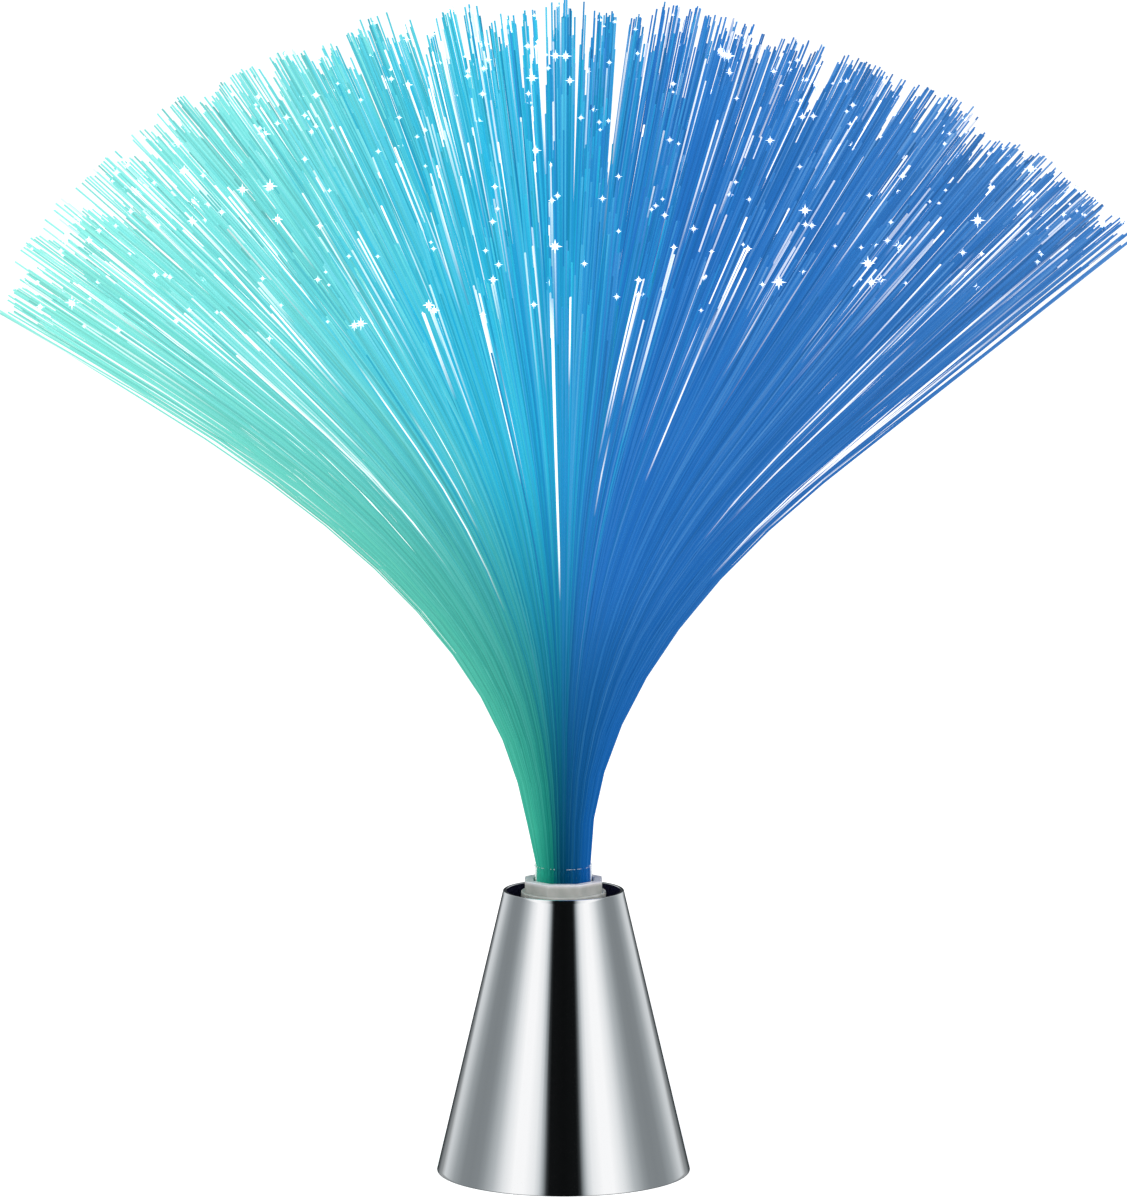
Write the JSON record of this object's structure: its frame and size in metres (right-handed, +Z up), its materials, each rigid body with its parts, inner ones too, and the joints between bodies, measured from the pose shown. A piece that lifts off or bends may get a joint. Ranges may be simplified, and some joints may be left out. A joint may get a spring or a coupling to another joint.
{
  "type": "fibre optic lamp",
  "caption": "Battery-powered table lamp: a polished cone base with a white collar that holds a fountain of colour-lit fibres with bright tips.",
  "frame": {"origin": "on the floor, under the axis of the cone base", "axes": "+Z up along the axis, -Y to the front, +X to the blue side of the fountain and to the switch"},
  "size_m": [0.3051, 0.306, 0.3231],
  "materials": {
    "polished_metal": "polished",
    "black_plastic": "fine texture",
    "foot_rubber": "matte",
    "screw_steel": "plated",
    "contact_steel": "bright",
    "cell_wrap": "smooth plain wrap",
    "board_resin": "solder mask",
    "chip_resin": "moulded",
    "clear_resin": "clear",
    "milky_nylon": "translucent",
    "ferrule_aluminium": "turned",
    "clear_sleeve": "clear",
    "blue_fibre": "clear, lit blue",
    "sky_fibre": "clear, lit sky blue",
    "aqua_fibre": "clear, lit aqua",
    "wire_insulation": "smooth"
  },
  "bodies": {
    "base": {"cone_shell": "polished_metal", "base_plate": "black_plastic", "foot_1": "foot_rubber", "foot_2": "foot_rubber", "foot_3": "foot_rubber", "plate_screw_1": "screw_steel", "plate_screw_2": "screw_steel", "plate_screw_3": "screw_steel", "battery_tube": "black_plastic", "cell_1": "cell_wrap", "cell_2": "cell_wrap", "cell_3": "cell_wrap", "high_plus_contact": "contact_steel", "high_bridge_contact": "contact_steel", "return_strip": "contact_steel", "contact_spring_2": "contact_steel", "driver_board": "board_resin", "driver_chip": "chip_resin", "board_resistor": "chip_resin", "colour_led": "clear_resin", "lamp_socket": "black_plastic", "socket_screw_1": "screw_steel", "socket_screw_2": "screw_steel", "socket_screw_3": "screw_steel", "switch_housing": "black_plastic", "switch_wire_1": "wire_insulation", "switch_wire_2": "wire_insulation"},
    "cap": {"battery_cap": "black_plastic", "low_bridge_contact": "contact_steel", "low_return_contact": "contact_steel", "contact_spring_1": "contact_steel", "contact_spring_3": "contact_steel"},
    "slider": {"switch_slider": "black_plastic"},
    "collar": {"collar": "milky_nylon"},
    "spray": {"ferrule": "ferrule_aluminium", "clear_sleeve": "clear_sleeve", "fibres_right": "blue_fibre", "fibres_back": "sky_fibre", "fibres_left": "aqua_fibre", "fibres_front": "sky_fibre"}
  },
  "joints": [
    {"name": "cap_turn", "type": "hinge", "parent": "base", "child": "cap", "pos_m": [0, 0, 0.004], "axis": [0, 0, 1], "range_deg": [0, 35]},
    {"name": "switch_slide", "type": "slide", "parent": "base", "child": "slider", "axis": [0, 1, 0], "range_m": [0, 0.0024]},
    {"name": "collar_turn", "type": "hinge", "parent": "base", "child": "collar", "pos_m": [0, 0, 0.077], "axis": [0, 0, 1], "continuous": true},
    {"name": "spray_lift", "type": "slide", "parent": "collar", "child": "spray", "axis": [0, 0, 1], "range_m": [0, 0.012]}
  ]
}
